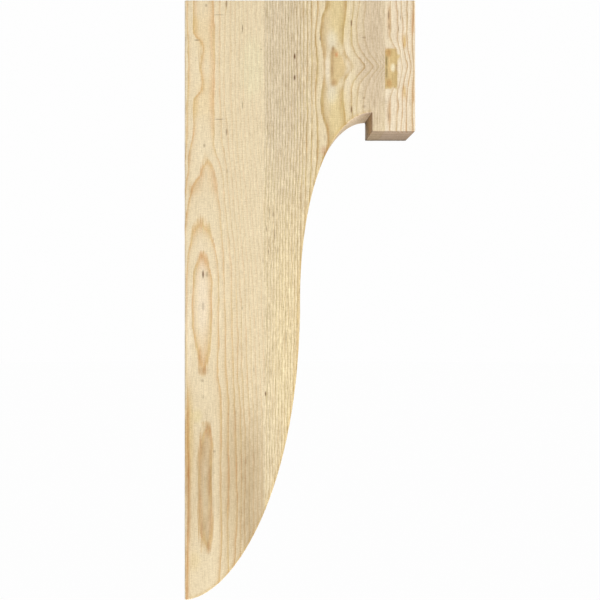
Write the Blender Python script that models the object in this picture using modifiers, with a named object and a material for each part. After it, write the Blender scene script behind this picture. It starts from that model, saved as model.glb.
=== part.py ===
# Sawn softwood corbel bracket, cut to an ogee outline from a blank of three edge-glued boards.
# Metres, +Z up. The origin is the centre of the flat face that goes against the wall.
# +X points away from the wall, and the thickness lies along Y.

import math

import bmesh
import bpy

# The whole bracket
HEIGHT = 0.6604
PROJECTION = 0.2540
THICKNESS = 0.0889

# The nose, a square block that hangs at the front
NOSE_WIDTH = 0.0476
NOSE_DROP = 0.1444  # top face down to the nose's foot

# The hollow arch behind the nose, and the waist that it runs down to
STEP_RISE = 0.0207  # nose's foot up to the crown of the arch
WAIST_WIDTH = 0.1270  # wall face out to the waist
WAIST_DROP = 0.3332  # top face down to the waist

# How far each end of a curve keeps its direction, as a share of that curve's own span or rise
ARCH_PULL_AT_CROWN = 0.547
ARCH_PULL_AT_WAIST = 0.600
BELLY_PULL_AT_WAIST = 0.655
BELLY_PULL_AT_TIP = 0.386

# The boards of the blank. The wall board takes the width that the other two leave
NOSE_BOARD_WIDTH = 0.0332
MIDDLE_BOARD_WIDTH = 0.1330
GLUE_LINE = 0.0003

# Edges eased with sandpaper
ARRIS = 0.0008
ARRIS_STEPS = 2

CURVE_STEPS = 80
WELD_DISTANCE = 1e-5
SHARP_ANGLE = math.radians(30)
SIDE_FACE_NORMAL = 0.999  # a face whose normal lies this nearly along the thickness is in a side

TOP = HEIGHT / 2
TIP = -HEIGHT / 2
NOSE_FOOT = TOP - NOSE_DROP
ARCH_CROWN = NOSE_FOOT + STEP_RISE
WAIST = TOP - WAIST_DROP
NOSE_BACK = PROJECTION - NOSE_WIDTH
FRONT_JOINT = PROJECTION - NOSE_BOARD_WIDTH
BACK_JOINT = FRONT_JOINT - MIDDLE_BOARD_WIDTH

WOOD_ROUGHNESS = 0.75
WALL_BOARD_COLOUR = (0.73, 0.59, 0.38)
MIDDLE_BOARD_COLOUR = (0.63, 0.50, 0.32)
NOSE_BOARD_COLOUR = (0.66, 0.51, 0.33)


def clear_scene():
    for thing in list(bpy.data.objects):
        bpy.data.objects.remove(thing)


def add_collection(name):
    collection = bpy.data.collections.new(name)
    bpy.context.scene.collection.children.link(collection)
    return collection


def wood_material(name, colour):
    material = bpy.data.materials.new(name)
    material.use_nodes = True
    material.diffuse_color = (*colour, 1.0)
    shader = material.node_tree.nodes["Principled BSDF"]
    shader.inputs["Base Color"].default_value = (*colour, 1.0)
    shader.inputs["Roughness"].default_value = WOOD_ROUGHNESS
    shader.inputs["Metallic"].default_value = 0.0
    return material


def set_handle(point, side, offset):
    """A handle this far from its point bends the curve, and one with no offset keeps it straight."""
    if offset is None:
        setattr(point, f"handle_{side}_type", "VECTOR")
        return
    setattr(point, f"handle_{side}_type", "FREE")
    setattr(point, f"handle_{side}", (point.co.x + offset[0], point.co.y + offset[1], 0))


def outline_points():
    """The side view's points, each with its place and the offsets of its two handles."""
    arch_span = NOSE_BACK - WAIST_WIDTH
    arch_rise = ARCH_CROWN - WAIST
    belly_span = WAIST_WIDTH
    belly_rise = WAIST - TIP
    top_back = ((0, TOP), None, None)
    top_front = ((PROJECTION, TOP), None, None)
    nose_front = ((PROJECTION, NOSE_FOOT), None, None)
    nose_back = ((NOSE_BACK, NOSE_FOOT), None, None)
    crown = ((NOSE_BACK, ARCH_CROWN), None, (-ARCH_PULL_AT_CROWN * arch_span, 0))
    into_waist = (0, ARCH_PULL_AT_WAIST * arch_rise)
    out_of_waist = (0, -BELLY_PULL_AT_WAIST * belly_rise)
    waist = ((WAIST_WIDTH, WAIST), into_waist, out_of_waist)
    tip = ((0, TIP), (BELLY_PULL_AT_TIP * belly_span, 0), None)
    return [top_back, top_front, nose_front, nose_back, crown, waist, tip]


def add_outline(collection):
    """The side view as a flat filled curve, stood up in the XZ plane and as thick as the bracket."""
    points = outline_points()
    curve = bpy.data.curves.new("outline", "CURVE")
    curve.dimensions = "2D"
    curve.fill_mode = "BOTH"
    curve.extrude = THICKNESS / 2
    curve.resolution_u = CURVE_STEPS
    spline = curve.splines.new("BEZIER")
    spline.use_cyclic_u = True
    spline.bezier_points.add(len(points) - 1)
    for point, (place, _, _) in zip(spline.bezier_points, points):
        point.co = (*place, 0)
    for point, (_, incoming, outgoing) in zip(spline.bezier_points, points):
        set_handle(point, "left", incoming)
        set_handle(point, "right", outgoing)
    outline = bpy.data.objects.new("outline", curve)
    outline.rotation_euler.x = math.radians(90)
    collection.objects.link(outline)
    return outline


def make_one_face_of_each_side(solid):
    """Dissolves the triangles of the two sides, so that the eased edge is even all round."""

    def is_in_a_side(face):
        return abs(face.normal.z) > SIDE_FACE_NORMAL

    inner_edges = [
        edge
        for edge in solid.edges
        if len(edge.link_faces) == 2 and all(is_in_a_side(face) for face in edge.link_faces)
    ]
    bmesh.ops.dissolve_edges(solid, edges=inner_edges)


def add_sawn_shape(outline, collection):
    """The bracket's whole form as one solid mesh with eased edges, which every board is cut to."""
    bpy.context.view_layer.update()
    graph = bpy.context.evaluated_depsgraph_get()
    mesh = bpy.data.meshes.new_from_object(outline.evaluated_get(graph))
    shape = bpy.data.objects.new("sawn_shape", mesh)
    shape.matrix_world = outline.matrix_world
    collection.objects.link(shape)
    bpy.data.objects.remove(outline)

    solid = bmesh.new()
    solid.from_mesh(mesh)
    bmesh.ops.remove_doubles(solid, verts=solid.verts, dist=WELD_DISTANCE)
    solid.normal_update()
    make_one_face_of_each_side(solid)
    bmesh.ops.recalc_face_normals(solid, faces=solid.faces)
    solid.to_mesh(mesh)
    solid.free()

    ease = shape.modifiers.new("eased_edges", "BEVEL")
    ease.width = ARRIS
    ease.segments = ARRIS_STEPS
    ease.limit_method = "ANGLE"
    ease.angle_limit = SHARP_ANGLE
    shape.hide_render = True
    shape.display_type = "WIRE"
    return shape


def add_board(name, back, front, colour, shape, collection):
    """A rough board from back to front along X, cut to the bracket's form."""
    rough_length = HEIGHT + THICKNESS
    rough_thickness = 2 * THICKNESS
    bpy.ops.mesh.primitive_cube_add(size=1, location=((back + front) / 2, 0, 0))
    board = bpy.context.active_object
    board.name = name
    board.data.name = name
    board.scale = (front - back, rough_thickness, rough_length)
    bpy.ops.object.transform_apply(location=False, rotation=False, scale=True)
    board.data.materials.append(wood_material(f"{name}_pine", colour))

    cut = board.modifiers.new("sawn_outline", "BOOLEAN")
    cut.operation = "INTERSECT"
    cut.object = shape
    bpy.ops.object.modifier_apply(modifier=cut.name)
    board.data.shade_smooth()
    board.data.set_sharp_from_angle(angle=SHARP_ANGLE)

    for owner in list(board.users_collection):
        owner.objects.unlink(board)
    collection.objects.link(board)
    return board


def main():
    clear_scene()
    bracket = add_collection("corbel_bracket")
    helpers = add_collection("cutters")
    shape = add_sawn_shape(add_outline(helpers), helpers)

    # The outer boards run past the wall face and the front, and the cut takes them back to it.
    spare = THICKNESS
    half_glue = GLUE_LINE / 2
    wall_board = ("wall_board", -spare, BACK_JOINT - half_glue, WALL_BOARD_COLOUR)
    middle_ends = (BACK_JOINT + half_glue, FRONT_JOINT - half_glue)
    middle_board = ("middle_board", *middle_ends, MIDDLE_BOARD_COLOUR)
    nose_board = ("nose_board", FRONT_JOINT + half_glue, PROJECTION + spare, NOSE_BOARD_COLOUR)

    origin = bpy.data.objects.new("wall_face_centre", None)
    bracket.objects.link(origin)
    for name, back, front, colour in (wall_board, middle_board, nose_board):
        board = add_board(name, back, front, colour, shape, bracket)
        board.parent = origin


main()
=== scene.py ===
import math

import bmesh
import bpy
import numpy as np
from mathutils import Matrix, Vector


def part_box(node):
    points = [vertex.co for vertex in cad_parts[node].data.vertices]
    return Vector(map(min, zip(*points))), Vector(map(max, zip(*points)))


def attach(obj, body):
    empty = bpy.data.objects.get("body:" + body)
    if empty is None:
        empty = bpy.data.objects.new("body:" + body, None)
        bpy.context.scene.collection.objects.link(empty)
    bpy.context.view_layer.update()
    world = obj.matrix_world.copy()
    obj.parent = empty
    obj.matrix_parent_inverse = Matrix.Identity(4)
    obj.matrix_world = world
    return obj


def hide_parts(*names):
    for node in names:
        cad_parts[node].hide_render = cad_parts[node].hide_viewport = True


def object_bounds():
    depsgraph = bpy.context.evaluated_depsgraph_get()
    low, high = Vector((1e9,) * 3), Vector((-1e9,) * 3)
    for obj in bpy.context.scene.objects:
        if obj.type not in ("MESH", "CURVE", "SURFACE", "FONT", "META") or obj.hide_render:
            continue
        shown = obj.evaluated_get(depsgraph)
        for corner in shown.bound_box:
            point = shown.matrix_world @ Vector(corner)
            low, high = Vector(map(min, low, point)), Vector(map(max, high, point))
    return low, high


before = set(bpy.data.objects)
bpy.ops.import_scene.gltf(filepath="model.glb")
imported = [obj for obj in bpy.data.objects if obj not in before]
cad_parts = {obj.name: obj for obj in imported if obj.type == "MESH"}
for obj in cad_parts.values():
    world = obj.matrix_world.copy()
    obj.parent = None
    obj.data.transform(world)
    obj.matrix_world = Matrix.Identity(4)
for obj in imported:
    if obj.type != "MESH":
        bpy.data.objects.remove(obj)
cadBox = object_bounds()

mm = 0.001
low, high = cadBox
wallX = low.x  # back face, against the wall
nearY = low.y  # side face that the camera sees
topZ = high.z
touching = 0.05 * mm  # places nearer than this lie in one plane
print("frame loaded, size in mm:", [round(side / mm, 1) for side in high - low])


def linear(hexColour):
    channels = [int(hexColour[i : i + 2], 16) / 255 for i in (1, 3, 5)]
    return (*[c / 12.92 if c <= 0.04045 else ((c + 0.055) / 1.055) ** 2.4 for c in channels], 1.0)


def addNode(tree, kind, settings=None, links=None):
    node = tree.nodes.new(kind)
    for name, value in (settings or {}).items():
        setattr(node, name, value)
    for name, value in (links or {}).items():
        if isinstance(value, bpy.types.NodeSocket):
            tree.links.new(value, node.inputs[name])
        else:
            node.inputs[name].default_value = value
    return node


# All sizes below are mm. "down" runs from the top face, "across" from the wall face and
# "depth" from the near side, and the ring numbers count out from the first oval ring.
# The heart and the ring lines are (down, across) points, and heartCount is (down, ring number).
# Contrast and fibre are (across, strength) points, for the ring lines and the fine lines between.
# A quiet patch softens the ring lines, or strengthens them where its weight is under 0. A tint
# pulls the wood towards its colour, so one paler than the early wood lightens it. Both are as
# wide and tall to each side of their middle.
# Flecks are (across, down, half width, half height, strength).
wallBoard = dict(
    name="wallBoard", node="wall_board", seed=11,
    heart=[(0, 20.7), (33, 20.7), (44, 25), (101, 25), (112, 20.7), (149, 20.2), (174, 25), (189, 23.5),
           (209, 21), (234, 17), (247, 17), (264, 18.5), (375, 19), (397, 20.7), (441, 22.4),
           (465, 25.7), (485, 24), (529, 22), (573, 23.5), (609, 26), (661, 23.5)],
    heartDepth=12.7,  # centre of the log, behind the near side
    ringWidth=4.6,
    heartCount=[(0, 2.5), (50, 2.5), (73, 2.42), (100, 2.5), (122, 2.46), (138, 2.32), (158, 2.12),
                (175, 2.0), (178, 1.93), (184, 1.72), (209, 1.6), (216, 1.35), (234, 1.08), (241, 1.0),
                (247, 0.93), (256, 0.7), (264, 0.45), (273, 0.15), (276, 0.0), (282, -0.12),
                (291, -0.25), (301, -0.5), (319, -0.7), (352, -0.7), (370, -0.5), (386, -0.32),
                (399, -0.2), (413, 0.0), (419, 0.1), (441, 0.2), (457, 0.2), (465, 0.0), (470, -0.12),
                (485, -0.25), (518, -0.35), (556, -0.35), (584, -0.25), (600, -0.1), (609, 0.0),
                (614, 0.1), (661, 0.25)],
    ringsToWall={
        0: [(276, 18), (281, 15.2), (291, 11.3), (301, 9.1), (314, 8.5), (341, 7.6), (361, 7.8),
            (381, 11.7), (390, 14.1), (399, 16.3), (413, 20.2), (465, 25.2), (470, 23.5), (477, 19.6),
            (485, 16.9), (507, 14.6), (534, 14.1), (562, 14.3), (584, 15.3), (593, 17.2), (600, 20.2),
            (609, 25.7)],
        1: [(240, 14.6), (245, 10.2), (249, 8), (256, 6.9), (269, 5.5), (286, 2.9), (303, 1.6),
            (330, 1.2), (380, 1.4), (416, 1.8), (441, 2.2), (485, 2.8), (507, 3.2), (551, 3.7),
            (595, 2.8), (625, 2), (661, 1.4)],
        2: [(176, 24), (182, 20.2), (188, 17.4), (194, 15.8), (196, 13), (200, 9.7), (206, 6.6),
            (214, 5.8), (220, 3.1), (234, 1.4), (275, -3), (661, -4)],
        3: [(0, 8.4), (33, 8.4), (39, 10.2), (42, 13.5), (45, 16.9), (51, 19.1), (55, 19.4), (62, 18),
            (73, 16.4), (84, 18), (91, 19.4), (96, 19.1), (100, 17.4), (104, 13.5), (108, 9.1),
            (121, 8.6), (149, 8.6), (159, 6.6), (172, 4.2), (189, 3), (205, 0.3), (231, -3),
            (661, -8.5)],
        4: [(0, 2), (35, 2.3), (50, 3.1), (73, 3.6), (97, 3.1), (115, 2), (165, 1.4), (178, -0.2),
            (220, -5.2), (661, -14)],
    },
    ringsToFront={
        0: [(276, 20.2), (281, 24.9), (291, 27.6), (302, 29.7), (312, 31.2), (339, 30.1), (377, 29.2),
            (388, 28.2), (399, 26.3), (413, 21.5), (465, 26.3), (470, 28.2), (480, 30.7), (491, 32.3),
            (523, 29.5), (551, 30.5), (578, 32.1), (592, 31.2), (601, 29.3), (609, 26.8)],
        1: [(240, 19), (246, 25.7), (253, 28.4), (269, 32.8), (282, 35.6), (311, 38.3), (375, 38.1),
            (416, 36.7), (425, 39.2), (441, 40.5), (595, 41.1), (639, 39.4)],
        2: [(176, 26.8), (178, 30.1), (185, 32.8), (194, 35), (220, 37.8), (231, 40), (282, 43.1),
            (330, 44.7), (403, 46), (419, 47.7), (441, 48.8), (617, 48.4)],
        3: [(0, 32.6), (73, 34), (99, 33.2), (160, 32.8), (167, 34.5), (181, 40), (196, 43.3),
            (220, 44.7), (253, 48.2), (293, 52.3), (370, 53), (449, 55.6), (480, 57.2), (562, 58.7),
            (622, 55.4)],
        4: [(0, 39.4), (110, 39.4), (154, 41.6), (178, 45.8), (238, 51), (269, 55.4), (330, 58),
            (386, 59.5), (414, 58.9), (436, 61.1), (507, 63.4), (608, 62.2)],
        5: [(0, 47.1), (33, 44.4), (73, 43.5), (110, 44.4), (141, 47.7), (238, 55.8), (264, 58.7),
            (339, 63.1), (375, 62.6), (441, 64.9), (474, 67.5), (600, 66.4)],
        6: [(0, 51.6), (110, 51.6), (165, 54.3), (220, 59.3), (308, 66.4), (397, 69.3), (463, 71.9)],
    },
    contrast=[(0, 1.0), (42, 1.0), (56, 1.0), (66, 0.9), (74, 0.6), (88, 0.45)],
    fibre=[(0, 0.8), (60, 0.75), (88, 0.9)],
    quiet=[
        dict(across=64, down=110, wide=30, tall=250, weight=0.55),
        dict(across=2.5, down=385, wide=3, tall=55, weight=0.4),
    ],
    tints=[
        dict(colour="#f0dfbd", across=15, down=90, wide=26, tall=130, soft=0.7, weight=0.22),
        dict(colour="#f0dfbd", across=26, down=335, wide=30, tall=80, soft=0.6, weight=0.14),
        dict(colour="#cbb896", across=30, down=500, wide=36, tall=75, soft=0.6, weight=0.2),
        dict(colour="#cfa94c", across=12, down=28, wide=3.5, tall=11, weight=0.22),
        dict(colour="#cfa94c", across=12, down=118, wide=3.5, tall=11, weight=0.2),
        dict(colour="#dcab6c", across=30.3, down=74, wide=3, tall=72, weight=0.2),
        dict(colour="#e6c070", across=22, down=40, wide=9, tall=24, weight=0.12),
        dict(colour="#e6c070", across=22, down=106, wide=9, tall=24, weight=0.12),
        dict(colour="#f2e2d0", across=19.5, down=325, wide=6, tall=45, soft=0.6, weight=0.3),
        dict(colour="#c7b088", across=55, down=470, wide=13, tall=120, soft=0.6, weight=0.25),
        dict(colour="#a87434", across=4.6, down=172, wide=2.2, tall=9, weight=0.25),
        dict(colour="#c19a58", across=12, down=206, wide=7, tall=9, weight=0.12),
        dict(colour="#b98a3c", across=6, down=210, wide=1.8, tall=7, weight=0.35),
        dict(colour="#cf9a50", across=19.5, down=281, wide=4.5, tall=5, weight=0.12),
        dict(colour="#c39a58", across=21, down=385, wide=7, tall=20, weight=0.12),
        dict(colour="#b8742c", across=16.8, down=391, wide=1.8, tall=9, weight=0.22),
        dict(colour="#ab7f52", across=20.5, down=409, wide=5.2, tall=4, weight=0.35),
        dict(colour="#d8c88c", across=13, down=458, wide=6, tall=7, weight=0.35),
        dict(colour="#d8c288", across=11, down=618, wide=6, tall=10, weight=0.3),
        dict(colour="#ab9a7b", across=22.5, down=537, wide=9, tall=66, soft=0.35, weight=0.35),
        dict(colour="#a97c34", across=20.5, down=496, wide=3, tall=10, weight=0.18),
        dict(colour="#a97c34", across=21, down=580, wide=3, tall=11, weight=0.18),
        dict(colour="#a2703a", across=26, down=473, wide=2.5, tall=8, weight=0.25),
        dict(colour="#a2703a", across=26.2, down=603, wide=2.2, tall=7, weight=0.3),
        dict(colour="#b98238", across=27.5, down=532, wide=1.8, tall=18, weight=0.3),
        dict(colour="#fbf0d8", across=4.4, down=375, wide=2.8, tall=45, weight=0.28),
        dict(colour="#c08a3c", across=2.2, down=490, wide=2.6, tall=46, soft=0.5, weight=0.42),
        dict(colour="#d2b25c", across=5.5, down=480, wide=4, tall=50, soft=0.6, weight=0.3),
        dict(colour="#c4ac84", across=7, down=538, wide=6, tall=70, soft=0.6, weight=0.3),
        dict(colour="#b07a38", across=4, down=552, wide=2.6, tall=48, soft=0.5, weight=0.42),
        dict(colour="#c08a3c", across=1.8, down=625, wide=2.2, tall=35, soft=0.6, weight=0.4),
        dict(colour="#c4b08c", across=56, down=545, wide=18, tall=85, weight=0.55),
        dict(colour="#c0ac8a", across=78, down=565, wide=14, tall=105, weight=0.8),
        dict(colour="#dfd9b4", across=74, down=74, wide=12, tall=32, soft=0.4, weight=0.35),
    ],
    flecks=[
        (20.2, 302, 1.2, 5.0, 0.9), (24.5, 302, 1.6, 3.6, 0.35), (20.2, 337, 1.6, 5.5, 0.35),
        (19.6, 419, 1.8, 2.2, 0.35), (20.2, 437, 1.4, 2.5, 0.25), (63.7, 31, 0.6, 5.0, 0.7),
        (63.7, 116, 0.6, 5.0, 0.5), (46.0, 4, 1.3, 5.0, 0.55), (46.2, 145, 1.2, 4.5, 0.5),
        (46.6, 188, 0.8, 3.0, 0.4), (37.8, 16, 5.6, 0.5, 0.6), (37.8, 131, 5.6, 0.6, 0.6),
        (23.5, 5.5, 1.8, 2.0, 0.4), (21.5, 160, 1.2, 2.5, 0.45), (13.5, 43.8, 3.4, 1.0, 0.5),
        (63.2, 339, 0.9, 2.6, 0.35), (84.0, 54, 1.8, 0.6, 0.4), (86.3, 286, 0.5, 3.5, 0.35),
        (76.3, 407, 0.8, 3.6, 0.3), (32.5, 497, 1.8, 1.6, 0.35),
    ],
    earlyWood="#ddccaa", orangeWood="#cca474", yellowWood="#cfb27e",
)

middleBoard = dict(
    name="middleBoard", node="middle_board", seed=23,
    heart=[(0, 167.5), (661, 167.5)],
    heartDepth=35.0,
    ringWidth=3.3,
    heartCount=[(0, 0.58), (661, 0.58)],
    ringsToWall={
        1: [(0, 156.2), (7, 155.1), (13, 152.3), (20, 149.6), (36, 148.5), (45, 149.6), (59, 152),
            (68, 153.2), (79, 153.3), (88, 151.9), (101, 149.6), (110, 148.6), (123, 149.8),
            (130, 151.8), (139, 155.2), (150, 157.2), (160, 157.3), (166, 154.9), (174, 151.6),
            (182, 149.6), (209, 146.3), (661, 145.7)],
        2: [(0, 145.2), (13, 145.2), (33, 143.5), (48, 143.5), (66, 145), (79, 145), (97, 143.5),
            (113, 143.5), (130, 145.1), (182, 145.5), (209, 141.9), (661, 140.2)],
        3: [(0, 139.1), (143, 139.4), (220, 136.9), (661, 134.2)],
        4: [(0, 134.5), (143, 133.9), (220, 132), (661, 129.2)],
        5: [(0, 130.1), (143, 130.3), (220, 127.6), (661, 125.4)],
        6: [(0, 126.5), (143, 127.2), (220, 124.2), (661, 121.5)],
    },
    ringsToFront={
        1: [(0, 179.5), (11, 178.8), (20, 177.7), (29, 176), (48, 175.2), (57, 177.1), (65, 182.1),
            (73, 187), (80, 182.1), (88, 177.1), (97, 175.2), (117, 176), (126, 177.7), (134, 178.8),
            (145, 179.5)],
        2: [(0, 187.3), (9, 186.8), (18, 185.4), (26, 184.1), (48, 184.3), (57, 187.6), (65, 194.2),
            (73, 200.8), (80, 194.2), (88, 187.6), (97, 184.3), (119, 184.1), (128, 185.4), (137, 186.8),
            (145, 187.3)],
        3: [(0, 193.1), (26, 190.3), (46, 191.4), (55, 194.7), (64, 201.4), (73, 209.6), (82, 201.4),
            (90, 194.7), (99, 191.4), (119, 190.3), (145, 193.1)],
        4: [(0, 200.3), (26, 198), (46, 199.7), (57, 204.1), (66, 210.2), (73, 215.7), (79, 210.2),
            (88, 204.1), (99, 199.7), (119, 198), (145, 200.3)],
        5: [(0, 206.3), (33, 205.8), (55, 209.6), (66, 215.1), (73, 220.1), (79, 215.1), (90, 209.6),
            (112, 205.8), (145, 206.3)],
    },
    contrast=[(88, 0.6), (110, 0.7), (125, 0.95), (144, 1.15), (180, 1.0), (188, 0.72), (196, 0.5),
              (205, 0.28), (221, 0.22)],
    fibre=[(88, 1.85), (140, 1.9), (150, 0.8), (185, 1.0), (221, 1.35)],
    quiet=[
        dict(across=152.5, down=74, wide=3.5, tall=20, weight=0.35),
        dict(across=163, down=44, wide=5.2, tall=11, weight=0.9),
        dict(across=163, down=105, wide=5.2, tall=10, weight=0.9),
        dict(across=157.6, down=74, wide=2.6, tall=20, weight=0.8),
        dict(across=171, down=54, wide=5, tall=6, weight=0.7),
        dict(across=171, down=91, wide=5, tall=6, weight=0.7),
        dict(across=183, down=73, wide=8, tall=9, soft=0.7, weight=0.5),
        dict(across=207, down=73, wide=15, tall=12, soft=0.8, weight=-1.6),  # stronger rings
    ],
    tints=[
        dict(colour="#d5bc66", across=168, down=14, wide=10, tall=32, weight=0.3),
        dict(colour="#d5bc66", across=168, down=130, wide=10, tall=30, weight=0.3),
        dict(colour="#b07a3c", across=152.8, down=74, wide=1.6, tall=14, weight=0.1),
        dict(colour="#a5542c", across=153.5, down=166, wide=3.4, tall=5, weight=0.3),
        dict(colour="#c8a866", across=162.8, down=74, wide=14.5, tall=21.5, toWall=3, power=1.5, soft=0.12,
             weight=0.47),
        dict(colour="#8a5a2c", across=162.5, down=74, wide=1.7, tall=20, weight=0.34),
        dict(colour="#a8743c", across=163.8, down=56.5, wide=2.4, tall=4.5, weight=0.35),
        dict(colour="#f4f0e6", across=157.3, down=75, wide=2.8, tall=16, soft=0.6, weight=0.25),
        dict(colour="#f4f0e6", across=180.2, down=73, wide=2.2, tall=32, soft=0.6, weight=0.15),
        dict(colour="#d9d6cc", across=162.4, down=43.5, wide=5, tall=10, soft=0.7, weight=0.35),
        dict(colour="#d9d6cc", across=162.4, down=103, wide=5, tall=9, soft=0.7, weight=0.35),
        dict(colour="#a8743c", across=164.5, down=90.5, wide=3.4, tall=4, weight=0.35),
        dict(colour="#cf7018", across=167.2, down=60, wide=1.4, tall=3, weight=0.55),
        dict(colour="#c9a878", across=144, down=73, wide=1.6, tall=36, weight=0.3),
        dict(colour="#bf9a60", across=129.8, down=13, wide=1.4, tall=7, weight=0.3),
        dict(colour="#bba690", across=208, down=60, wide=17, tall=90, soft=0.5, weight=0.5),
        dict(colour="#c3b49f", across=108, down=70, wide=28, tall=130, soft=0.5, weight=0.4),
        dict(colour="#e4d2a8", across=112, down=380, wide=14, tall=110, weight=0.5),
    ],
    flecks=[
        (121.1, 61.7, 1.15, 3.6, 1.0), (121.1, 85.2, 1.15, 3.4, 1.0), (183.6, 25.0, 0.9, 4.4, 0.8),
        (183.6, 120.5, 0.9, 4.4, 0.8), (99.0, 258, 0.8, 8.0, 0.5), (97.6, 236, 0.8, 3.6, 0.45),
        (93.4, 235, 0.6, 7.5, 0.4), (92.3, 277, 0.7, 3.5, 0.5), (102.2, 277, 0.6, 3.5, 0.35),
        (90.0, 252, 0.8, 3.4, 0.45), (111.6, 372, 0.9, 11.0, 0.3), (89.0, 433.5, 0.9, 2.8, 0.9),
        (149.2, 42, 1.0, 3.4, 0.5), (197.6, 41, 2.6, 1.2, 0.35), (197.4, 107.5, 1.6, 1.0, 0.45),
        (197.6, 117, 2.4, 2.2, 0.3), (154.5, 151, 0.7, 5.0, 0.35), (163.5, 53, 1.0, 3.0, 0.35),
    ],
    earlyWood="#dac9a6", orangeWood="#b89664", yellowWood="#b9a06a",
)

noseBoard = dict(
    name="noseBoard", node="nose_board", seed=37,
    heart=[(0, 222.8), (661, 222.8)],
    heartDepth=9.0,
    ringWidth=4.4,
    heartCount=[(0, 0.15), (46, 0.2), (53, 0.6), (73, 0.6), (95, 0.6), (100, 0.2), (145, 0.15)],
    ringsToWall={},
    ringsToFront={
        1: [(0, 226.8), (40, 227), (47, 229.4), (53, 234.4), (73, 236.3), (94, 234.4), (99, 229.4),
            (107, 227), (144, 226.6)],
        2: [(0, 233.3), (18, 235.2), (31, 236.1), (42, 234.7), (51, 236.4), (73, 240.8), (96, 236.4),
            (105, 234.7), (116, 236.1), (129, 235.2), (144, 233.8)],
        3: [(0, 239.1), (18, 239.7), (31, 241.1), (44, 240.5), (55, 242.1), (73, 246.2), (91, 242.1),
            (102, 240.5), (116, 241.1), (129, 239.7), (144, 239.1)],
        4: [(0, 245.2), (33, 244.9), (46, 245.6), (73, 249.9), (100, 245.6), (113, 244.9), (144, 244.9)],
        5: [(0, 252.4), (55, 251.8), (73, 252.8), (91, 251.8), (144, 252.4)],
    },
    contrast=[(220, 0.66), (230, 0.76), (242, 1.0), (254, 1.1)],
    fibre=[(220, 1.0), (254, 1.0)],
    quiet=[dict(across=228, down=74, wide=10, tall=24, soft=0.3, weight=0.75)],
    tints=[
        dict(colour="#d9c8a6", across=224.5, down=25, wide=5, tall=42, soft=0.6, weight=0.35),
        dict(colour="#d3bf9c", across=251, down=72, wide=3, tall=110, soft=0.5, weight=0.35),
        dict(colour="#b98a50", across=225, down=22, wide=2.2, tall=17, weight=0.45),
        dict(colour="#b98a50", across=225, down=124, wide=2.2, tall=15, weight=0.4),
        dict(colour="#bb9a40", across=220.6, down=74.5, wide=14.4, tall=22.5, power=6, soft=0.08,
             weight=0.63),
        dict(colour="#fafaff", across=229.6, down=74, wide=2.3, tall=4.4, weight=1.2),
        dict(colour="#ffe9d6", across=225.6, down=72, wide=1.6, tall=11, weight=0.4),
        dict(colour="#3f3a14", across=222.3, down=67, wide=1.2, tall=5, weight=0.6),
        dict(colour="#4f3d14", across=222.3, down=80, wide=1.2, tall=6, weight=0.55),
        dict(colour="#b8782c", across=224.6, down=57.5, wide=2.8, tall=4.8, weight=0.42),
        dict(colour="#b8782c", across=225.2, down=91, wide=3, tall=4.4, weight=0.42),
        dict(colour="#8f7a20", across=233, down=76, wide=1.3, tall=20, weight=0.12),
        dict(colour="#a5683a", across=232.8, down=74.5, wide=1.4, tall=4.5, weight=0.2),
        dict(colour="#c7a04e", across=242, down=45, wide=1.6, tall=8, weight=0.7),
        dict(colour="#c7a04e", across=242, down=101, wide=1.6, tall=8, weight=0.6),
        dict(colour="#cf9450", across=251.6, down=22, wide=1.5, tall=15, weight=0.28),
        dict(colour="#cf9450", across=251.6, down=103, wide=1.5, tall=15, weight=0.28),
    ],
    flecks=[
        (224.6, 16, 1.0, 6.0, 0.6), (225.0, 29, 0.9, 4.5, 0.45), (235.6, 31, 0.7, 4.5, 0.45),
        (237.6, 19, 0.7, 3.5, 0.4), (233.2, 73.5, 0.8, 3.5, 0.2), (224.8, 128, 0.9, 5.0, 0.4),
    ],
    earlyWood="#dfd0b5", orangeWood="#b78f62", yellowWood="#bb9c6c",
)


growing = dict(
    stray=0.35, strayLengths=(12, 30, 34),  # ring lines wander slowly
    fineStray=0.12, fineLengths=(4, 9, 9),  # and a little within that
    raggedRim=0.08, raggedLengths=(5, 20, 14),  # of quiet and tinted patches
    patchDepth=(8, 30),  # a patch fades out between these depths
    lineGap=0.2,  # least distance between two ring lines
    wideRing=8,  # a ring wider than this turns dark late
    lateWood=(0.55, 0.92),  # where in a ring the wood turns dark
    ringEdge=(0.94, 1.0),  # where the dark wood ends
)


# Smooth line through (place, value) points, rounded off over a few mm.
def alongBoard(points, place, blur=2.5):
    reach = 10  # how far the rounding looks to each side
    knots, values = zip(*points)
    grid = np.arange(min(knots) - 3 * reach, max(knots) + 3 * reach + 1, 1.0)
    weights = np.exp(-((np.arange(-reach, reach + 1) / blur) ** 2))
    straight = np.pad(np.interp(grid, knots, values), reach, mode="edge")
    return np.interp(place, grid, np.convolve(straight, weights / weights.sum(), mode="valid"))


# Slow waves in several directions, about -1 to 1, for all that grew or was sawn unevenly.
def wander(places, lengths, seed, waves=7):
    chance = np.random.default_rng(seed)
    total = np.zeros(len(places))
    for _ in range(waves):
        direction = chance.normal(size=3)
        direction /= np.linalg.norm(direction)
        pace = 2 * math.pi * direction / np.array(lengths) * chance.uniform(0.6, 1.6)
        total += np.sin(places @ pace + chance.uniform(0, 2 * math.pi))
    return total / math.sqrt(waves)


def smoothStep(value, start, end):
    t = np.clip((value - start) / (end - start), 0, 1)
    return t * t * (3 - 2 * t)


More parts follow.
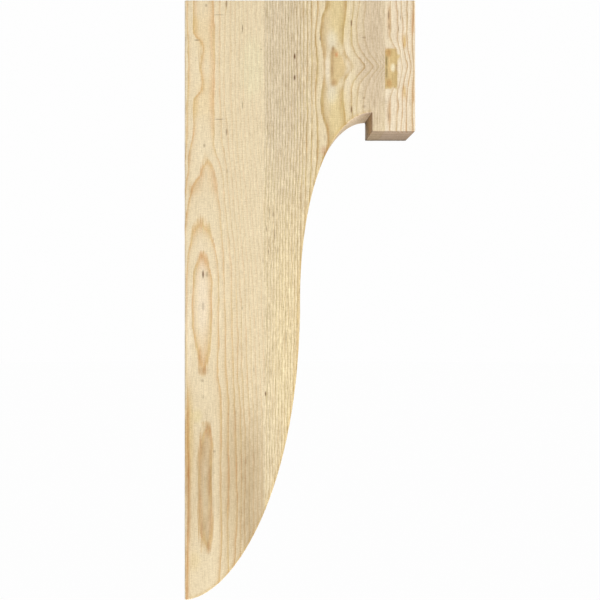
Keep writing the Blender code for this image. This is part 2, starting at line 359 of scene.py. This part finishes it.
# Growth rings as a number that grows outwards, whole at each ring's dark edge. A place inside
# the board takes the number of the near side's place that is as far from the log's centre.
def ringCount(board, across, depth, down):
    heart = alongBoard(board["heart"], down)
    offset = across - heart
    radius = np.hypot(offset, depth - board["heartDepth"])
    place = np.sqrt(np.maximum(radius**2 - board["heartDepth"] ** 2, 0))
    atHeart = alongBoard(board["heartCount"], down, blur=1.5)
    rings = atHeart + np.minimum(radius - board["heartDepth"], 0) / board["ringWidth"]
    for side, lines in ((-1, board["ringsToWall"]), (1, board["ringsToFront"])):
        mine = offset * side > 0
        lastPlace = np.zeros(len(across))
        lastCount = atHeart
        for number, points in sorted(lines.items()):
            linePlace = (alongBoard(points, down) - heart) * side
            linePlace = np.maximum(linePlace, lastPlace + growing["lineGap"])
            exists = atHeart < number
            share = np.clip((place - lastPlace) / (linePlace - lastPlace), 0, 1)
            steepness = np.maximum(1, (linePlace - lastPlace) / growing["wideRing"])
            between = lastCount + (number - lastCount) * share**steepness
            rings = np.where(mine & exists & (place > lastPlace), between, rings)
            lastPlace = np.where(exists, linePlace, lastPlace)
            lastCount = np.where(exists, number, lastCount)
        beyond = lastCount + (place - lastPlace) / board["ringWidth"]
        rings = np.where(mine & (place > lastPlace), beyond, rings)
    return rings


# How far each place lies within a soft-edged patch, 0 to 1 times its weight, fading behind the
# near side. Its power makes it a leaf (under 2), an ellipse (2) or a box (over 2), and toWall is
# its width on the side towards the wall.
def insideOf(patch, across, depth, down, ragged):
    sideways = across - patch["across"]
    width = np.where(sideways < 0, patch.get("toWall", patch["wide"]), patch["wide"])
    power = patch.get("power", 2)
    size = np.abs(sideways / width) ** power + np.abs((down - patch["down"]) / patch["tall"]) ** power
    soft = patch.get("soft", 0.55)
    shape = 1 - smoothStep(size ** (1 / power) + ragged, 1 - soft, 1 + soft)
    return patch["weight"] * shape * (1 - smoothStep(depth, *growing["patchDepth"]))


sawing = dict(
    grid=1.6,  # between cuts of the mesh
    ringRise=0.10,  # hard dark wood stands over the soft pale wood
    pitch=4.4,  # between the saw's broad marks
    lean=0.05,  # of those marks, over the thickness
    markDepth=0.05,
    steadiness=0.6,  # the rest of each mark's depth comes and goes
    markLengths=(40, 40, 50),
    fuzz=0.05,  # raised fibre
    fuzzLengths=(3.1, 3.1, 17),
    frameGap=0.3,  # between two boards in the frame
    gluedGap=0.03,  # seen between two boards
    curveTop=123,  # the curved edge starts at the arch's crown
    curveAcross=(1, 206),
    curveStep=0.8,
    burntRim=2.4,  # browned by the bandsaw along the curved edge
    burntShade=(0.92, 0.86, 0.72),
    sharpAngle=35,  # degrees
)

# Turned faces take a tone of their own, as (depth, share of light) points: the top's darker end grain,
# painted shade on the nose's foot and back face where soft light reaches less, and painted light in
# the arch. "turned" says how far a face looks that way before it takes its tone.
tones = dict(
    turned=(0.3, 0.6),
    sideTurned=(0.5, 0.9),
    top=0.92,  # end grain is darker
    footAcross=206,  # the nose's foot starts here
    # painted shade on the nose's foot, partly its darker end grain, darkest towards the far side
    foot=[(0, 0.66), (24, 0.68), (29, 0.46), (34, 0.63), (44, 0.62), (48, 0.45), (53, 0.60), (76, 0.48),
          (84, 0.28), (89, 0.28)],
    noseBackAcross=(200, 210),
    # painted shade on the nose's back face, deeper away from the near side
    noseBack=[(0, 0.86), (40, 0.58), (89, 0.24)],
    # browner colour of the painted shade on the nose's foot and back face
    noseShadeColour=(0.99, 0.90, 0.91),
    # painted light: the arch's underside is made paler and bluer, fading out into the waist
    archTurned=(0.2, 0.6),
    archEnd=(150, 200),  # down, where the arch has run out into the waist
    archPaintedLight=(1.06, 1.05, 1.18),
)


# Cuts the faces, all but the glued ones, along a grid of planes by halving.
def cutIntoGrid(solid, spacing, isGlued):
    for axis in (2, 0, 1):
        places = [v.co[axis] for v in solid.verts]
        start, length = min(places), max(places) - min(places)
        count = math.ceil(length / spacing)
        normal = [float(i == axis) for i in range(3)]

        def halve(faces, first, last):
            if last <= first or not faces:
                return
            middle = (first + last) // 2
            place = start + length * middle / count
            verts = {v for face in faces for v in face.verts}
            edges = {e for face in faces for e in face.edges}
            origin = [place * part for part in normal]
            cut = bmesh.ops.bisect_plane(
                solid, geom=[*verts, *edges, *faces], dist=1e-6, plane_co=origin, plane_no=normal
            )
            pieces = [part for part in cut["geom"] if isinstance(part, bmesh.types.BMFace)]
            halve([face for face in pieces if face.calc_center_median()[axis] < place], first, middle)
            halve([face for face in pieces if face.calc_center_median()[axis] >= place], middle + 1, last)

        halve([face for face in solid.faces if not isGlued(face)], 1, count)


# The board's mesh from the frame, cut into a fine grid.
def cutBoard(board, joints):
    def isGlued(face):
        return any(all(abs(v.co.x - x) < touching for v in face.verts) for x in joints)

    solid = bmesh.new()
    solid.from_mesh(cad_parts[board["node"]].data)
    bmesh.ops.remove_doubles(solid, verts=solid.verts, dist=0.01 * mm)
    bmesh.ops.dissolve_limit(solid, angle_limit=math.radians(0.03), verts=solid.verts, edges=solid.edges)
    cutIntoGrid(solid, sawing["grid"] * mm, isGlued)
    mesh = bpy.data.meshes.new(board["name"])
    solid.to_mesh(mesh)
    solid.free()
    return mesh


def readPoints(mesh):
    coords = np.empty(len(mesh.vertices) * 3, np.float32)
    normals = np.empty(len(mesh.vertices) * 3, np.float32)
    mesh.vertices.foreach_get("co", coords)
    mesh.vertex_normals.foreach_get("vector", normals)
    return coords.reshape(-1, 3).astype(float), normals.reshape(-1, 3).astype(float)


def writeVector(mesh, name, columns):
    made = mesh.attributes.new(name, "FLOAT_VECTOR", "POINT")
    made.data.foreach_set("vector", np.column_stack(columns).astype(np.float32).ravel())


# Distance of each place from the curved edge, as seen from the side. The curve only goes down.
def distanceFromCurve(node, across, down):
    places = {(round((topZ - v.co.z) / mm, 1), round((v.co.x - wallX) / mm, 1)) for v in node.data.vertices}
    first, last = sawing["curveAcross"]
    rim = sorted(place for place in places if place[0] > sawing["curveTop"] and first < place[1] < last)
    nearest = np.full(len(across), 99.0)  # far from it on a board that has no curve
    if rim:
        rimDown, rimAcross = zip(*rim)
        for z in np.arange(rimDown[0], rimDown[-1], sawing["curveStep"]):
            x = np.interp(z, rimDown, rimAcross)
            nearest = np.minimum(nearest, np.hypot(across - x, down - z))
    return nearest


# Pulls a tint towards a share of the wood's own colour, by a weight for each place; it lays both the wood's
# own stains and the painted shade and painted light.
def stainAndShade(tint, weight, share):
    return tint * (1 - weight[:, None] * (1 - np.asarray(share)))


# What patches and the bandsaw make of the wood's own colour at each place, with painted shade and painted
# light on turned faces.
def woodTintAndShade(board, places, normals, ragged):
    across, depth, down = places.T
    tint = np.ones(places.shape)
    pale = np.array(linear(board["earlyWood"])[:3])
    for patch in board["tints"]:
        colour = np.array(linear(patch["colour"])[:3])
        tint = stainAndShade(tint, insideOf(patch, across, depth, down, ragged), colour / pale)

    fromCurve = distanceFromCurve(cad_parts[board["node"]], across, down)
    burnt = np.exp(-((fromCurve / sawing["burntRim"]) ** 2))
    onSide = smoothStep(np.abs(normals[:, 1]), *tones["sideTurned"])
    tint = stainAndShade(tint, burnt * onSide, sawing["burntShade"])

    # The top's end grain is darker; the nose's foot and back face get browned painted shade, and the arch's
    # underside painted light.
    first, last = tones["noseBackAcross"]
    onTop = smoothStep(normals[:, 2], *tones["turned"])
    onFoot = smoothStep(-normals[:, 2], *tones["turned"]) * (across > tones["footAcross"])
    onNoseBack = smoothStep(-normals[:, 0], *tones["turned"]) * (across > first) * (across < last)
    inArch = smoothStep(-normals[:, 2], *tones["archTurned"]) * (across < tones["footAcross"])
    inArch *= 1 - smoothStep(down, *tones["archEnd"])
    tint = stainAndShade(tint, onTop, tones["top"])
    tint = stainAndShade(tint, onFoot, alongBoard(tones["foot"], depth)[:, None])
    tint = stainAndShade(tint, onNoseBack, alongBoard(tones["noseBack"], depth)[:, None])
    tint = stainAndShade(tint, onFoot + onNoseBack, tones["noseShadeColour"])
    return stainAndShade(tint, inArch, tones["archPaintedLight"])


# Hard dark wood stays proud of the cut, and each stroke of the saw leaves a low ridge.
def reliefOf(board, places, rings, contrast):
    _, depth, down = places.T
    part = rings - np.floor(rings)
    late = smoothStep(part, *growing["lateWood"]) * (1 - smoothStep(part, *growing["ringEdge"]))
    steady = sawing["steadiness"]
    saw = np.sin(2 * math.pi * (down + sawing["lean"] * depth) / sawing["pitch"])
    saw *= steady + (1 - steady) * wander(places, sawing["markLengths"], board["seed"] + 3)
    fuzz = wander(places, sawing["fuzzLengths"], board["seed"] + 4, waves=12)
    return sawing["ringRise"] * late * contrast + sawing["markDepth"] * saw + sawing["fuzz"] * fuzz


def makeBoard(board):
    nodeLow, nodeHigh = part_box(board["node"])
    joints = [x for x in (nodeLow[0], nodeHigh[0]) if low.x + touching < x < high.x - touching]
    mesh = cutBoard(board, joints)
    coords, normals = readPoints(mesh)
    across = (coords[:, 0] - wallX) / mm
    depth = (coords[:, 1] - nearY) / mm
    down = (topZ - coords[:, 2]) / mm
    places = np.column_stack([across, depth, down])

    strayed = across + growing["stray"] * wander(places, growing["strayLengths"], board["seed"])
    strayed += growing["fineStray"] * wander(places, growing["fineLengths"], board["seed"] + 1)
    ragged = growing["raggedRim"] * wander(places, growing["raggedLengths"], board["seed"] + 2)
    rings = ringCount(board, strayed, depth, down)
    contrast = alongBoard(board["contrast"], across)
    for patch in board["quiet"]:
        contrast = contrast * (1 - insideOf(patch, across, depth, down, ragged))
    writeVector(mesh, "growth", [rings, contrast, alongBoard(board["fibre"], across)])
    writeVector(mesh, "tint", woodTintAndShade(board, places, normals, ragged).T)

    # The glued sides stay flat and close up to a thin dark line.
    rise = reliefOf(board, places, rings, contrast)
    for x in joints:
        normals[np.abs(coords[:, 0] - x) < touching, 0] = 0
    moved = coords + normals * rise[:, None] * mm
    for x in joints:
        glued = np.abs(coords[:, 0] - x) < touching
        outwards = 1 if x == nodeHigh[0] else -1
        moved[glued, 0] = x + outwards * (sawing["frameGap"] - sawing["gluedGap"]) / 2 * mm
    mesh.vertices.foreach_set("co", moved.astype(np.float32).ravel())
    mesh.shade_smooth()
    mesh.set_sharp_from_angle(angle=math.radians(sawing["sharpAngle"]))

    piece = bpy.data.objects.new(board["name"], mesh)
    bpy.context.scene.collection.objects.link(piece)
    mesh.materials.append(sawnPine(board))
    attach(piece, "root")
    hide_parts(board["node"])
    print(board["name"], "made,", sum(len(face.vertices) - 2 for face in mesh.polygons), "triangles")


# Widths and lengths of the wood's marks in mm, and how far each one shades the wood. Real fibres
# are about 0.03 mm wide, and here they are as coarse as they need to be to show.
pine = dict(
    marks=dict(
        fibre=dict(width=1.0, length=26, detail=2.0, strength=0.50),
        pores=dict(width=0.65, length=9, detail=1.0, strength=0.56),
        grit=dict(width=1.0, length=1.0, detail=1.0, strength=0.42),
        sawMarks=dict(width=5.0, length=1.1, detail=1.0, strength=0.36),
        clouds=dict(width=12, length=30, detail=1.0, strength=0.12),
        hue=dict(width=5, length=45, detail=1.0),  # late wood goes from orange to yellow with it
    ),
    hueRange=(0.35, 0.65),
    raggedLines=0.30,  # share of a ring that the fibres shift its dark line by
    ringShades=[(0.0, 0.40), (0.05, 0.0), (0.42, 0.04), (0.64, 0.16), (0.82, 0.52), (0.93, 1.0), (1.0, 0.5)],
    warmth=(0.86, 1.0, 1.18),  # darker wood is also browner
    fleckColour="#6e4f33",
    fleckDepth=4,
    fleckRim=(1.3, 0.3),  # from none to full, in shares of the fleck's size
    paleRoughness=0.86,
    darkRoughness=0.70,  # dark wood is a little denser and smoother
    specular=0.25,
    bump=0.5,
    bumpHeight=0.3,
    poresInBump=0.6,
)


# Bare sawn pine: pale cream early wood and tan to amber lines of late wood, matt and a little
# furry, so that it scatters the light evenly and shows no clear highlight.
def sawnPine(board):
    material = bpy.data.materials.new(board["name"] + "SawnPine")
    material.use_nodes = True
    tree = material.node_tree
    shader = tree.nodes["Principled BSDF"]

    # Place on the board in mm: across, depth, down.
    place = addNode(
        tree, "ShaderNodeMapping",
        links={
            "Vector": addNode(tree, "ShaderNodeTexCoord").outputs["Object"],
            "Location": (-wallX / mm, -nearY / mm, topZ / mm),
            "Scale": (1 / mm, 1 / mm, -1 / mm),
        },
    ).outputs[0]
    growth = addNode(tree, "ShaderNodeAttribute", {"attribute_name": "growth"})
    growthParts = addNode(tree, "ShaderNodeSeparateXYZ", links={0: growth.outputs["Vector"]})
    rings, contrast, fibreStrength = growthParts.outputs
    tint = addNode(tree, "ShaderNodeAttribute", {"attribute_name": "tint"})

    noises = {}
    for name, mark in pine["marks"].items():
        squeeze = (1 / mark["width"], 1 / mark["width"], 1 / mark["length"])
        squeezed = addNode(tree, "ShaderNodeMapping", links={"Vector": place, "Scale": squeeze})
        noises[name] = addNode(
            tree, "ShaderNodeTexNoise",
            links={"Vector": squeezed.outputs[0], "Scale": 1.0, "Detail": mark["detail"]},
        ).outputs["Fac"]

    # How far into the dark late wood of its ring each place is.
    ragged = addNode(
        tree, "ShaderNodeMath", {"operation": "MULTIPLY_ADD"},
        {0: noises["fibre"], 1: pine["raggedLines"], 2: rings},
    )
    centred = addNode(
        tree, "ShaderNodeMath", {"operation": "SUBTRACT"}, {0: ragged.outputs[0], 1: pine["raggedLines"] / 2}
    )
    part = addNode(tree, "ShaderNodeMath", {"operation": "FRACT"}, {0: centred.outputs[0]})
    ramp = addNode(tree, "ShaderNodeValToRGB", links={"Fac": part.outputs[0]})
    while len(ramp.color_ramp.elements) < len(pine["ringShades"]):
        ramp.color_ramp.elements.new(0.5)
    for element, (position, value) in zip(ramp.color_ramp.elements, pine["ringShades"]):
        element.position = position
        element.color = (value, value, value, 1)
    lateness = addNode(
        tree, "ShaderNodeMath", {"operation": "MULTIPLY"}, {0: ramp.outputs["Color"], 1: contrast}
    )

    hueLow, hueHigh = pine["hueRange"]
    hueShare = addNode(tree, "ShaderNodeMapRange", links={0: noises["hue"], 1: hueLow, 2: hueHigh})
    lateWood = addNode(
        tree, "ShaderNodeMix", {"data_type": "RGBA"},
        {0: hueShare.outputs[0], 6: linear(board["orangeWood"]), 7: linear(board["yellowWood"])},
    )
    colour = addNode(
        tree, "ShaderNodeMix", {"data_type": "RGBA"},
        {0: lateness.outputs[0], 6: linear(board["earlyWood"]), 7: lateWood.outputs[2]},
    ).outputs[2]
    # The tint holds the patches' colours, the bandsaw's browning, and painted shade and painted light.
    colour = addNode(
        tree, "ShaderNodeVectorMath", {"operation": "MULTIPLY"}, {0: colour, 1: tint.outputs["Vector"]}
    ).outputs[0]

    shade = 0.0
    for name in ("fibre", "pores", "grit", "sawMarks", "clouds"):
        centred = addNode(tree, "ShaderNodeMath", {"operation": "SUBTRACT"}, {0: noises[name], 1: 0.5})
        amount = pine["marks"][name]["strength"]
        if name in ("fibre", "pores"):
            amount = addNode(
                tree, "ShaderNodeMath", {"operation": "MULTIPLY"}, {0: fibreStrength, 1: amount}
            ).outputs[0]
        shade = addNode(
            tree, "ShaderNodeMath", {"operation": "MULTIPLY_ADD"},
            {0: centred.outputs[0], 1: amount, 2: shade},
        ).outputs[0]
    warmShade = addNode(
        tree, "ShaderNodeVectorMath", {"operation": "MULTIPLY_ADD"},
        {0: shade, 1: pine["warmth"], 2: (1, 1, 1)},
    )
    colour = addNode(
        tree, "ShaderNodeVectorMath", {"operation": "MULTIPLY"}, {0: colour, 1: warmShade.outputs[0]}
    ).outputs[0]

    # Pin knots, pitch marks and small tears near the side face.
    spots = 0.0
    rimEnd, rimStart = pine["fleckRim"]
    for across, down, wide, tall, strength in board["flecks"]:
        away = addNode(
            tree, "ShaderNodeVectorMath", {"operation": "SUBTRACT"}, {0: place, 1: (across, 0, down)}
        )
        scaled = addNode(
            tree, "ShaderNodeVectorMath", {"operation": "MULTIPLY"},
            {0: away.outputs[0], 1: (1 / wide, 1 / pine["fleckDepth"], 1 / tall)},
        )
        size = addNode(tree, "ShaderNodeVectorMath", {"operation": "LENGTH"}, {0: scaled.outputs[0]})
        mask = addNode(
            tree, "ShaderNodeMapRange", {"interpolation_type": "SMOOTHSTEP"},
            {0: size.outputs["Value"], 1: rimEnd, 2: rimStart, 3: 0.0, 4: strength},
        )
        spots = addNode(
            tree, "ShaderNodeMath", {"operation": "MAXIMUM"}, {0: spots, 1: mask.outputs[0]}
        ).outputs[0]
    colour = addNode(
        tree, "ShaderNodeMix", {"data_type": "RGBA"}, {0: spots, 6: colour, 7: linear(pine["fleckColour"])}
    ).outputs[2]
    tree.links.new(colour, shader.inputs["Base Color"])

    roughness = addNode(
        tree, "ShaderNodeMapRange",
        links={0: lateness.outputs[0], 3: pine["paleRoughness"], 4: pine["darkRoughness"]},
    )
    tree.links.new(roughness.outputs[0], shader.inputs["Roughness"])
    shader.inputs["Specular IOR Level"].default_value = pine["specular"]
    height = addNode(
        tree, "ShaderNodeMath", {"operation": "MULTIPLY_ADD"},
        {0: noises["pores"], 1: pine["poresInBump"], 2: noises["fibre"]},
    )
    surface = addNode(
        tree, "ShaderNodeBump",
        links={"Strength": pine["bump"], "Distance": pine["bumpHeight"] * mm, "Height": height.outputs[0]},
    )
    tree.links.new(surface.outputs[0], shader.inputs["Normal"])
    return material


for board in (wallBoard, middleBoard, noseBoard):
    makeBoard(board)


# The camera stands level with the bracket's middle, square to its side. Its place and the width
# and middle of what it sees are mm, measured at the near side.
photo = dict(distance=1484.5, across=69.0, frameWidth=661.1, middle=127.0, sensor=36)
cameraData = bpy.data.cameras.new("photoCamera")
cameraData.sensor_width = photo["sensor"]
cameraData.lens = photo["sensor"] * photo["distance"] / photo["frameWidth"]
cameraData.shift_x = (photo["middle"] - photo["across"]) / photo["frameWidth"]
camera = bpy.data.objects.new("photoCamera", cameraData)
camera.location = (wallX + photo["across"] * mm, nearY - photo["distance"] * mm, (low.z + high.z) / 2)
camera.rotation_euler = (math.radians(90), 0, 0)
bpy.context.scene.collection.objects.link(camera)
bpy.context.scene.camera = camera
bpy.context.scene.view_settings.view_transform = "Standard"

# Metres and watts from here.
studio = dict(
    floorDrop=1.1, floorRadius=30.0, floorColour="#8c8a88", floorRoughness=0.9,
    glowShare=0.995,  # of what the camera sees of the floor
    whiteness=0.99, ambient=0.5,  # the backdrop for the camera, and for the bracket
    aim=(0.12, 0, 0),
    keyPlace=(1.3, -2.2, 0.2), keySize=1.5, keyPower=52,
    fillPlace=(-1.2, 1.9, 1.6), fillSize=2.0, fillPower=80,
    glowPlace=(0.7, -0.1, -1.35), glowSize=2.0, glowPower=25,
)


# Pale painted floor, well under the bracket, which hangs by its wall face. It is open from below
# so that the bracket can be looked at from there, and it glows a little like a lit studio floor.
def makeFloor():
    mesh = bpy.data.meshes.new("floor")
    disc = bmesh.new()
    bmesh.ops.create_circle(disc, cap_ends=True, segments=96, radius=studio["floorRadius"])
    disc.to_mesh(mesh)
    disc.free()
    floor = bpy.data.objects.new("floor", mesh)
    floor.location.z = low.z - studio["floorDrop"]
    bpy.context.scene.collection.objects.link(floor)
    material = bpy.data.materials.new("litFloorPaint")
    material.use_nodes = True
    tree = material.node_tree
    paint = tree.nodes["Principled BSDF"]
    paint.inputs["Base Color"].default_value = linear(studio["floorColour"])
    paint.inputs["Roughness"].default_value = studio["floorRoughness"]
    seen = addNode(tree, "ShaderNodeLightPath").outputs["Is Camera Ray"]
    glow = addNode(
        tree, "ShaderNodeEmission", links={"Color": (1, 1, 1, 1), "Strength": studio["whiteness"]}
    )
    share = addNode(tree, "ShaderNodeMath", {"operation": "MULTIPLY"}, {0: seen, 1: studio["glowShare"]})
    lit = addNode(
        tree, "ShaderNodeMixShader",
        links={0: share.outputs[0], 1: paint.outputs[0], 2: glow.outputs[0]},
    )
    under = addNode(tree, "ShaderNodeNewGeometry").outputs["Backfacing"]
    clear = addNode(tree, "ShaderNodeBsdfTransparent")
    both = addNode(tree, "ShaderNodeMixShader", links={0: under, 1: lit.outputs[0], 2: clear.outputs[0]})
    tree.links.new(both.outputs[0], tree.nodes["Material Output"].inputs["Surface"])
    mesh.materials.append(material)


def addSoftLight(name, place, target, size, power):
    data = bpy.data.lights.new(name, "AREA")
    data.shape = "SQUARE"
    data.size = size
    data.energy = power
    light = bpy.data.objects.new(name, data)
    light.location = place
    light.rotation_euler = (Vector(target) - Vector(place)).to_track_quat("-Z", "Y").to_euler()
    bpy.context.scene.collection.objects.link(light)


makeFloor()
addSoftLight("keyLight", studio["keyPlace"], studio["aim"], studio["keySize"], studio["keyPower"])
addSoftLight("farSideFill", studio["fillPlace"], studio["aim"], studio["fillSize"], studio["fillPower"])
x, y, _ = studio["glowPlace"]  # light that the floor throws back, straight up
addSoftLight("floorGlow", studio["glowPlace"], (x, y, 0), studio["glowSize"], studio["glowPower"])

# White all round for the camera, and half as bright for the bracket.
world = bpy.data.worlds.new("studio")
bpy.context.scene.world = world
world.use_nodes = True
tree = world.node_tree
seen = addNode(tree, "ShaderNodeLightPath").outputs["Is Camera Ray"]
strength = addNode(
    tree, "ShaderNodeMix", {"data_type": "FLOAT"}, {0: seen, 2: studio["ambient"], 3: studio["whiteness"]}
)
tree.nodes["Background"].inputs["Color"].default_value = (1, 1, 1, 1)
tree.links.new(strength.outputs[0], tree.nodes["Background"].inputs["Strength"])
print("camera, floor and light placed")
